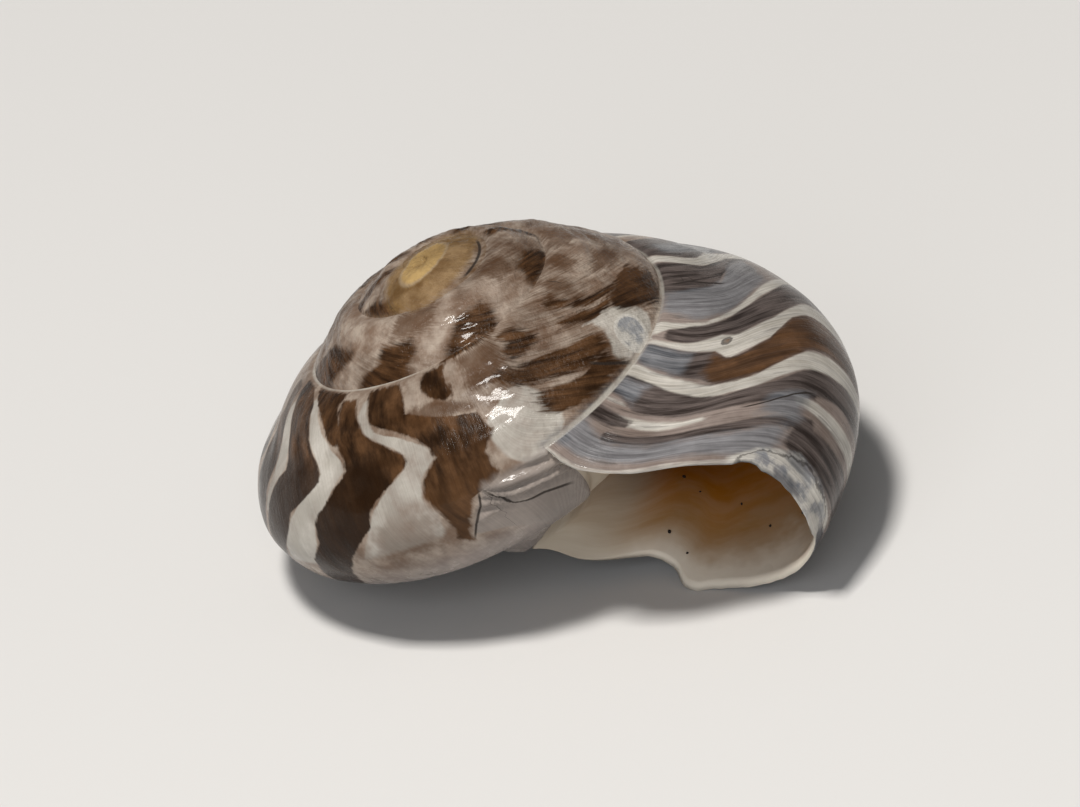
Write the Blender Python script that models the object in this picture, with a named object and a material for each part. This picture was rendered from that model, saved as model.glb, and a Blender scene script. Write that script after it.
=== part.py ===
"""Top shell, grown in one piece: low whorls coiled to the right round a tilted axis, and an open mouth.

Lengths are in metres. The shell is drawn about its own axis, with the apex at the origin and the
whorls growing downwards, and is then leaned over to lie on the rim of its mouth and on its base.
A place on the shell is given by its turn, counted in whorls back from the mouth (0 at the mouth,
-1 one whorl earlier), and by its angle round the whorl's outline (90 at the top of the whorl, 0 on
the outside, -90 on the base).
"""

import bpy
import numpy as np

# How the whorls grow.
WHORLS = 4.2                    # whorls from the apex to the mouth
RADIUS_GAIN = 1.629             # widths multiply by this in one whorl
HEIGHT_GAIN = 2.114             # heights multiply by this in one whorl
CORE_RADIUS = 0.00988           # middle of the last whorl, out from the axis
CORE_DEPTH = 0.01106            # middle of the last whorl, down from the apex

# Outline of the last whorl at the mouth: angle, and distance out from the whorl's middle.
OUTLINE = (
    (-150, 0.0061), (-120, 0.0065), (-90, 0.0071), (-60, 0.0078), (-30, 0.0073), (0, 0.0055),
    (30, 0.0041), (60, 0.0040), (90, 0.0047), (120, 0.0055), (180, 0.0059),
)

# How far the mouth's edge, and each growth line, trails behind: outline angle, degrees of turn.
TRAIL = (
    (-165, -13.0), (-120, 17.5), (-90, 30.0), (-60, 35.0), (-30, 32.5),
    (-5, 30.0), (20, 21.0), (45, 10.0), (70, 2.5), (95, 0.0),
)

# Where each whorl is welded to the next one.
SUTURE_ANGLE = 89.5             # outline angle of the weld on the younger whorl, at the mouth
SUTURE_DRIFT = -10.0            # degrees that it changes in one whorl of growth
COVER_ANGLE = -16.5             # outline angle on the older whorl, one whorl behind the mouth
COVER_DRIFT = -26.0
OPEN_DRIFT = -8.0               # the same line on the last whorl, where nothing covers it

# The base and the inner edge of the mouth.
FOOT = (-0.0015, -0.0040, -0.01275)     # foot of the inner lip, from the apex
GROWN_TURNS = 0.4               # turns past the inner lip over which the base takes its full shape
BASE_ANGLE = -112.0             # the base leaves the outline here and runs in to the foot
INNER_LIP_ANGLE = -74.0         # the same place beside the inner lip
LOWER_LIP_ANGLE = -150.0        # and at the lower lip
LOWER_LIP_TURNS = 0.22          # turns behind the lower lip over which that changes
INNER_LIP_TRAIL = 7.0           # degrees of turn that the inner lip bows into the mouth
PAD_HEIGHT = 0.0008             # glaze laid over the base beside the mouth
PAD_TURNS = 0.33                # turns that it reaches outside the mouth
PAD_TURNS_INSIDE = 0.4          # and inside

# Piece broken out of the lower lip.
BITE_ANGLE = -129.0
BITE_HALF_WIDTH = 25.0
BITE_DEPTH = 13.5               # degrees of turn
BITE_TURNS = 0.13               # the growth lines crowd together behind it over this stretch

# Thickness of the wall and shape of the hollow.
LIP_WALL = 0.00028
BODY_WALL = 0.00085
WALL_TURNS = 0.12               # turns behind the lip over which the wall thickens
GLAZE = 0.0003                  # inner layer on the whorl that the hollow passes over
GLAZE_TURNS = 0.05              # turns over which it thickens
HOLLOW_TURNS = 1.4
HOLLOW_RIM = 0.012              # turns from the edge of the mouth to the first ring
HOLLOW_CORNER = 0.0006          # rounding where two walls meet, deep inside
CORNER_TURNS = 0.15             # turns over which that rounding grows
RIM_CORNER = 0.0001             # the same at the edge of the mouth
RIM_GAP = 0.00002               # least glaze, right at the edge
HOLLOW_MIDDLE = (0.0102, 0.0129)    # out from the axis and down from the apex, at the mouth

# How the shell lies.
LEAN = 15.5                     # the axis, from upright
LEAN_TOWARDS = 157.1            # heading of that lean, from +X
SPIN = -150.3                   # turn of the shell about its own axis
MOUTH_HEADING = -84.4           # the mouth's insertion, about the axis, before that turn

# Fineness of the surface.
STEPS_PER_WHORL = 44
ROWS_EXPOSED = 8                # from the suture to the line that the next whorl covers
ROWS_BASE = 14                  # from there to where the base leaves the outline
ROWS_FOOT = 5                   # from there to the foot
RINGS = 30

SHELL_COLOUR = (0.36, 0.29, 0.25, 1.0)
SHELL_ROUGHNESS = 0.38


def ease(share):
    """Run smoothly from 0 to 1 as the share does."""
    share = np.clip(share, 0.0, 1.0)
    return share * share * (3.0 - 2.0 * share)


def curve_through(points, place, period=None):
    """Read a smooth curve through (place, value) points."""
    points = np.array(points, float)
    if period:
        before = points[-2:] - (period, 0.0)
        after = points[:2] + (period, 0.0)
        points = np.concatenate((before, points, after))
        place = (place - points[2, 0]) % period + points[2, 0]
    places, values = points.T
    place = np.clip(place, places[0], places[-1])
    slopes = np.gradient(values, places)
    left = np.clip(np.searchsorted(places, place) - 1, 0, len(places) - 2)
    gap = places[left + 1] - places[left]
    along = (place - places[left]) / gap
    weight = ease(along)
    pull_left = along * (1.0 - along) ** 2 * gap * slopes[left]
    pull_right = along ** 2 * (along - 1.0) * gap * slopes[left + 1]
    return values[left] * (1.0 - weight) + values[left + 1] * weight + pull_left + pull_right


def pad_height(angle, turn):
    """Thickness of the glaze laid over the base beside the mouth."""
    under = ease((-30.0 - angle) / 45.0)
    beside = 1.0 - ease((turn + 1.0) / PAD_TURNS)
    return PAD_HEIGHT * under * beside


def whorl_section(angle, turn):
    """Distance out from the axis, and height, of a place on the outside of a whorl."""
    wide = RADIUS_GAIN ** turn
    high = HEIGHT_GAIN ** turn
    reach = wide * curve_through(OUTLINE, angle, 360.0) + pad_height(angle, turn)
    out = wide * CORE_RADIUS + reach * np.cos(np.radians(angle))
    height = -high * CORE_DEPTH + reach * np.sin(np.radians(angle))
    return out, height


def wind(out, height, turn):
    """Carry a place in the whorl's section round the axis."""
    heading = np.radians(MOUTH_HEADING - 360.0 * turn)
    return np.stack((out * np.cos(heading), out * np.sin(heading), height), axis=-1)


def trailing(angle, turn):
    """Turns by which the growth line through a place trails, or is broken back."""
    inner = (COVER_ANGLE - angle) / (COVER_ANGLE - INNER_LIP_ANGLE + 30.0)
    inner_lip = INNER_LIP_TRAIL * np.sin(np.pi * np.clip(inner, 0.0, 1.0))
    grown = ease((turn + 1.0) / GROWN_TURNS)
    trail = inner_lip * (1.0 - grown) + curve_through(TRAIL, angle) * grown
    across = np.clip((angle - BITE_ANGLE) / BITE_HALF_WIDTH, -1.0, 1.0)
    bite = BITE_DEPTH * 0.5 * (1.0 + np.cos(np.pi * across))
    return (trail + bite * ease(1.0 + turn / BITE_TURNS)) / 360.0


def bend(start, start_pull, end_pull, end, share):
    """Points on a curve that leaves start and reaches end along the two pulls."""
    share = share[:, None]
    rest = 1.0 - share
    first = rest ** 3 * start + 3.0 * rest ** 2 * share * (start + start_pull)
    return first + 3.0 * rest * share ** 2 * (end + end_pull) + share ** 3 * end


def exposed_rows(turn, opening, suture):
    """One line of places down a whorl, from its suture to the line that the next whorl covers."""
    share = np.linspace(0.0, 1.0, ROWS_EXPOSED + 1)
    top = SUTURE_ANGLE + SUTURE_DRIFT * turn
    low = COVER_ANGLE + (COVER_DRIFT if turn <= -1.0 else OPEN_DRIFT) * (turn + 1.0)
    angle = top + (low - top) * share
    line = turn - (trailing(angle, turn) if turn > -1.0 else 0.0)
    places = wind(*whorl_section(angle, line), line)
    end = places[-1] * opening
    share = share[:, None]
    arch = places - places[0] * (1.0 - share) - places[-1] * share
    return suture * (1.0 - share) + end * share + arch * opening


def base_rows(turn):
    """The rest of the line on the last whorl, under the base and in to the foot."""
    grown = ease((turn + 1.0) / GROWN_TURNS)
    top = COVER_ANGLE + OPEN_DRIFT * (turn + 1.0)
    low = INNER_LIP_ANGLE + (BASE_ANGLE - INNER_LIP_ANGLE) * grown
    low += (LOWER_LIP_ANGLE - BASE_ANGLE) * ease(1.0 + turn / LOWER_LIP_TURNS)
    angle = np.linspace(top, low, ROWS_BASE + 1)[1:]
    line = turn - trailing(angle, turn)
    under = wind(*whorl_section(angle, line), line)
    foot = np.array(FOOT)
    way = under[-1] - under[-2]
    gap = np.linalg.norm(foot - under[-1])
    flat = ease((turn + 1.0) / 0.3)
    back = (under[-1] - foot) * (1.0, 1.0, 1.0 - 0.8 * flat)
    back = back / np.linalg.norm(back) - np.array((0.0, 0.0, 0.12 * flat))
    share = np.linspace(0.0, 1.0, ROWS_FOOT + 1)[1:]
    inward = bend(under[-1], way / np.linalg.norm(way) * gap * 0.35, back * gap * 0.4, foot, share)
    return np.concatenate((under, inward))


class Surface:
    """Vertices and triangles as they are laid down."""

    def __init__(self):
        self.points = []
        self.faces = []

    def add(self, point):
        self.points.append(tuple(point))
        return len(self.points) - 1

    def strip(self, first, second):
        """Join two lines of vertices, some of which may be shared."""
        for upper, lower, next_lower, next_upper in zip(first, first[1:], second[1:], second):
            for face in ((upper, next_upper, next_lower), (upper, next_lower, lower)):
                if len(set(face)) == 3:
                    self.faces.append(face)


def lay_outside(surface):
    """Lay the outside, line by line, and return each line's vertices."""
    count = round(WHORLS * STEPS_PER_WHORL)
    apex = surface.add((0.0, 0.0, 0.0))
    foot = surface.add(FOOT)
    lines = [[apex] * (ROWS_EXPOSED + 1)]
    for step in range(1, count + 1):
        turn = (step - count) / STEPS_PER_WHORL
        weld = lines[step - STEPS_PER_WHORL][ROWS_EXPOSED] if step >= STEPS_PER_WHORL else apex
        opening = ease(step / STEPS_PER_WHORL)
        places = exposed_rows(turn, opening, np.array(surface.points[weld]))
        line = [weld] + [surface.add(place) for place in places[1:]]
        if turn >= -1.0:
            line += [surface.add(place) for place in base_rows(turn)[:-1]] + [foot]
        surface.strip(lines[-1][:ROWS_EXPOSED + 1], line[:ROWS_EXPOSED + 1])
        surface.strip(lines[-1][ROWS_EXPOSED:], line[ROWS_EXPOSED:] if turn > -1.0 else [])
        lines.append(line)
    return lines


def room(out, height, turn, wall, glaze, corner):
    """Room left inside the whorl, clear of its own wall and of the whorl that it passes over."""
    spans = []
    for whorl in (turn, turn - 1.0):
        across = out - RADIUS_GAIN ** whorl * CORE_RADIUS
        down = height + HEIGHT_GAIN ** whorl * CORE_DEPTH
        angle = np.degrees(np.arctan2(down, across))
        reach = RADIUS_GAIN ** whorl * curve_through(OUTLINE, angle, 360.0)
        spans.append(reach - np.hypot(across, down))
    inside = spans[0] - wall
    clear = -spans[1] - glaze
    lean = np.clip(0.5 + 0.5 * (clear - inside) / corner, 0.0, 1.0)
    return clear * (1.0 - lean) + inside * lean - corner * lean * (1.0 - lean)


def hollow_ring(turn, angle, *walls):
    """One ring of the hollow's wall, found along rays from the hollow's middle."""
    wide = RADIUS_GAIN ** turn
    out, height = hollow_middle(turn)
    across = np.cos(angle)
    up = np.sin(angle)
    near = np.zeros_like(angle)
    step = 0.0003 * wide
    while True:
        ahead = room(out + (near + step) * across, height + (near + step) * up, turn, *walls)
        if not np.any(ahead > 0.0):
            break
        near = np.where(ahead > 0.0, near + step, near)
    far = near + step
    for _ in range(16):
        middle = (near + far) / 2.0
        free = room(out + middle * across, height + middle * up, turn, *walls) > 0.0
        near = np.where(free, middle, near)
        far = np.where(free, far, middle)
    return wind(out + near * across, height + near * up, turn)


def hollow_middle(turn):
    """Middle of the hollow: distance out from the axis, and height."""
    wide = RADIUS_GAIN ** turn
    high = HEIGHT_GAIN ** turn
    out, depth = HOLLOW_MIDDLE
    return wide * out, -high * CORE_DEPTH - wide * (depth - CORE_DEPTH)


def lay_hollow(surface, lines):
    """Lay the hollow, ring by ring, inwards from the edge of the mouth, and close its far end."""
    lip = lines[-1]
    inner_lip = lines[-1 - STEPS_PER_WHORL][ROWS_EXPOSED + 1:-1]
    edge = lip + inner_lip[::-1]
    places = np.array([surface.points[vertex] for vertex in edge])
    heading = np.degrees(np.arctan2(places[:, 1], places[:, 0]))
    turn = (MOUTH_HEADING - heading) / 360.0
    turn -= np.round(turn)
    out, height = hollow_middle(turn)
    angle = np.unwrap(np.arctan2(places[:, 2] - height, np.hypot(places[:, 0], places[:, 1]) - out))
    angle = np.minimum.accumulate(angle - 1e-4 * np.arange(len(angle)))
    pad = PAD_HEIGHT * ease((260.0 + np.degrees(angle)) / 45.0) * ease(-np.degrees(angle) / 90.0)
    ring = edge
    for depth in HOLLOW_RIM + (HOLLOW_TURNS - HOLLOW_RIM) * np.linspace(0.0, 1.0, RINGS) ** 1.25:
        inwards = turn - depth
        wall = (LIP_WALL + (BODY_WALL - LIP_WALL) * ease(depth / WALL_TURNS)) * RADIUS_GAIN ** inwards
        glaze = GLAZE * ease(depth / GLAZE_TURNS) + RIM_GAP
        glaze = np.maximum(glaze, pad * (1.0 - ease(depth / PAD_TURNS_INSIDE)))
        corner = RIM_CORNER + HOLLOW_CORNER * ease(depth / CORNER_TURNS) * RADIUS_GAIN ** inwards
        inner = [surface.add(place) for place in hollow_ring(inwards, angle, wall, glaze, corner)]
        surface.strip(ring + ring[:1], inner + inner[:1])
        ring = inner
    end = surface.add(np.mean([surface.points[vertex] for vertex in ring], axis=0))
    surface.strip(ring + ring[:1], [end] * (len(ring) + 1))


def turned(points, degrees, axis):
    """Turn points about one of the three axes."""
    sine = np.sin(np.radians(degrees))
    cosine = np.cos(np.radians(degrees))
    first, second = ((1, 2), (2, 0), (0, 1))[axis]
    result = points.copy()
    result[:, first] = points[:, first] * cosine - points[:, second] * sine
    result[:, second] = points[:, first] * sine + points[:, second] * cosine
    return result


def laid_down(points):
    """Lean the shell over as it lies, with its lowest point at height 0 and its box centred."""
    points = turned(turned(turned(points, SPIN, 2), LEAN, 1), LEAN_TOWARDS, 2)
    low = points.min(axis=0)
    high = points.max(axis=0)
    return points - ((low[0] + high[0]) / 2.0, (low[1] + high[1]) / 2.0, low[2])


def shell_material():
    """Plain stand-in for the mottled, polished shell."""
    material = bpy.data.materials.new("shell")
    material.use_nodes = True
    shader = material.node_tree.nodes["Principled BSDF"]
    shader.inputs["Base Color"].default_value = SHELL_COLOUR
    shader.inputs["Roughness"].default_value = SHELL_ROUGHNESS
    shader.inputs["Metallic"].default_value = 0.0
    return material


def make_shell():
    """Build the shell as one closed body."""
    surface = Surface()
    lines = lay_outside(surface)
    lay_hollow(surface, lines)
    mesh = bpy.data.meshes.new("shell")
    mesh.from_pydata(laid_down(np.array(surface.points)).tolist(), [], surface.faces)
    mesh.materials.append(shell_material())
    mesh.shade_smooth()
    mesh.set_sharp_from_angle(angle=np.radians(50.0))
    shell = bpy.data.objects.new("shell", mesh)
    bpy.context.scene.collection.objects.link(shell)
    return shell


for old in list(bpy.data.objects):
    bpy.data.objects.remove(old, do_unlink=True)
make_shell()
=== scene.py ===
"""Top shell: its fine surface, markings and polish, dressed over the fixed solid, and a pale studio stage.

Lengths are in metres, and fields of the markings are in millimetres. A place on the shell is given by
its growth, counted in whorls back from the mouth (0 at the lip, -1 one whorl earlier), and by its
angle round the whorl's outline (90 at the top of the whorl, 0 on the outside, -90 on the base).
Lines of equal growth follow the mouth's edge, so every stripe and ridge of the shell runs along them.
"""

import math

import bmesh
import bpy
import numpy as np
from bpy.props import FloatProperty, FloatVectorProperty, PointerProperty
from mathutils import Matrix, Vector


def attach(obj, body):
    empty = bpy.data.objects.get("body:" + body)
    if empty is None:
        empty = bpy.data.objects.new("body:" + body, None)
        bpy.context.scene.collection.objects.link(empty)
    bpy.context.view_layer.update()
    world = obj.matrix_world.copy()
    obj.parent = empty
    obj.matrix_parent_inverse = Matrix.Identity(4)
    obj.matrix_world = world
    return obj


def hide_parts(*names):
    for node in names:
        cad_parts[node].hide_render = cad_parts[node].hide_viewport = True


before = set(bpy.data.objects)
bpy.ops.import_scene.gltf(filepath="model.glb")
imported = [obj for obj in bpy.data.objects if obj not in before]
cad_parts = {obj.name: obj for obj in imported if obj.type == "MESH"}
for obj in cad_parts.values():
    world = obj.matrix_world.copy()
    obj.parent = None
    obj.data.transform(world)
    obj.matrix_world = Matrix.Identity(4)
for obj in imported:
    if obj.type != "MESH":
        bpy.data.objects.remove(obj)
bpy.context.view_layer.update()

bl_info = {
    "name": "Top Shell Surface",
    "version": (1, 0, 0),
    "blender": (4, 5, 0),
    "location": "View3D > Sidebar > Top Shell",
    "description": "Lays the surface of a worn top shell over its solid and sets a studio stage",
    "category": "Object",
}

NODE = "shell"

# How the whorls grow.
WHORLS = 4.2
RADIUS_GAIN = 1.629
HEIGHT_GAIN = 2.114
CORE_RADIUS = 0.00988
CORE_DEPTH = 0.01106

# Outline of the last whorl at the mouth: angle, and distance out from the whorl's middle.
OUTLINE = (
    (-150, 0.0061), (-120, 0.0065), (-90, 0.0071), (-60, 0.0078), (-30, 0.0073), (0, 0.0055),
    (30, 0.0041), (60, 0.0040), (90, 0.0047), (120, 0.0055), (180, 0.0059),
)

# How far the mouth's edge, and each growth line, trails behind: outline angle, degrees of turn.
TRAIL = (
    (-165, -13.0), (-120, 17.5), (-90, 30.0), (-60, 35.0), (-30, 32.5),
    (-5, 30.0), (20, 21.0), (45, 10.0), (70, 2.5), (95, 0.0),
)

# Where each whorl is welded to the next one.
SUTURE_ANGLE = 89.5
SUTURE_DRIFT = -10.0
COVER_ANGLE = -16.5
COVER_DRIFT = -26.0
OPEN_DRIFT = -8.0

# The base and the inner edge of the mouth.
FOOT = (-0.0015, -0.0040, -0.01275)
GROWN_TURNS = 0.4
BASE_ANGLE = -112.0
INNER_LIP_ANGLE = -74.0
LOWER_LIP_ANGLE = -150.0
LOWER_LIP_TURNS = 0.22
INNER_LIP_TRAIL = 7.0
INNER_LIP_SPREAD = 87.5
PAD_HEIGHT = 0.0008
PAD_TURNS = 0.33
PAD_TURNS_INSIDE = 0.4
PAD_ANGLE = -30.0
PAD_SPREAD = 45.0
PAD_END = -260.0

# How a line runs in to the foot: over how many turns it gets flat, how flat, how far it dips, and how
# strongly it pulls at its start and its end.
FLAT_TURNS = 0.3
FLAT_SHARE = 0.8
FLAT_DIP = 0.12
START_PULL = 0.35
END_PULL = 0.4

# Piece broken out of the lower lip.
BITE_ANGLE = -129.0
BITE_HALF_WIDTH = 25.0
BITE_DEPTH = 13.5
BITE_TURNS = 0.13

# Thickness of the wall, shape of the hollow, and how its rings, and the rays that find its wall, are
# spaced.
LIP_WALL = 0.00028
BODY_WALL = 0.00085
WALL_TURNS = 0.12
GLAZE = 0.0003
GLAZE_TURNS = 0.05
HOLLOW_TURNS = 1.4
HOLLOW_RIM = 0.004
HOLLOW_CORNER = 0.0006
CORNER_TURNS = 0.15
RIM_CORNER = 0.0001
RIM_GAP = 0.00002
HOLLOW_MIDDLE = (0.0102, 0.0129)
RING_CROWDING = 1.35
RAY_GAP = 1e-5
RAY_STEP = 0.0003
RAY_HALVINGS = 16

# How the shell lies.
LEAN = 15.5
LEAN_TOWARDS = 157.1
SPIN = -150.3
MOUTH_HEADING = -84.4

# Fineness of the surface.
STEPS_PER_WHORL = 280
ROWS_EXPOSED = 42
ROWS_BASE = 44
ROWS_FOOT = 12
RINGS = 110

# How many millimetres one turn, and one degree of the outline, measure on the last whorl.
TURN_MM = 75.0
DEGREE_MM = 0.087

# How many values the lattice of the noise holds each way before it repeats.
LATTICE = 256

# The surface's two materials.
OUTSIDE = 0
INSIDE = 1

# Millimetres in a metre.
MM = 1000.0

# Kinds of node socket.
FLOAT = "NodeSocketFloat"
VECTOR = "NodeSocketVector"

# The fields of the markings are cut off this far, in millimetres, from a marking's edge.
FIELD_REACH_MM = 3.0

# Small chips along the lip: how deep the largest are and how far back they show, in turns.
CHIP_TURNS = 0.0028
CHIP_RUN_TURNS = 0.012

# Heights and depths of the small forms, in millimetres.
FOLD_RISE = 0.14
FOLD_BED = 0.06
FLAKE_RISE = 0.24
SEAM_GROOVE = 0.04
SEAM_RIDGE = 0.03
CRACK_DEPTH = 0.05

# Stripes on the unseen back: from where to where, in thousandths of a whorl, and by outline angle how
# a line there runs on the right and the left side. Blotches above them: from where to where, and the
# outline angle of their top. Then their least and greatest widths and gaps, and where the lines of the
# right side end and those of the left side start.
BACK_STRIPES = (-628.0, -300.0)
BACK_BLOTCHES = ((-1640.0, -1320.0, 96), (-2720.0, -2240.0, 104))
STRIPE_WIDTHS = (16.0, 34.0)
STRIPE_GAPS = (12.0, 24.0)
BLOTCH_WIDTHS = (40.0, 75.0)
BLOTCH_GAPS = (35.0, 70.0)
RIGHT_END = -420.0
LEFT_START = -640.0
SLANTS = (
    (96, 0, 6), (70, 2, 0), (45, 5, -8), (20, 4, -14),
    (0, -8, 20), (-20, -10, 60), (-45, -4, 92), (-80, 8, 110),
)

# The stage: a pale floor, and a far camera that looks down at the shell and is rolled a little.
STAGE_MIDDLE = Vector((0.0, 0.0, 0.006))
CAMERA_PLACE = (-0.00042, -1.16351, 0.66255)
CAMERA_RISE = math.radians(29.4232)
CAMERA_ROLL = math.radians(-11.1938)
CAMERA_LENS = 1024.7

# Lower part of a purple-grey stripe that is brown at its heart, listed like the bands below.
WARM_STRIPE = (
    (40, -100, -79), (30, -101, -76), (20, -107, -77), (10, -122, -86), (0, -126, -94), (-10, -124, -96),
    (-20, -119, -97), (-50, -118, -92), (-90, -110, -88),
)

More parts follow.
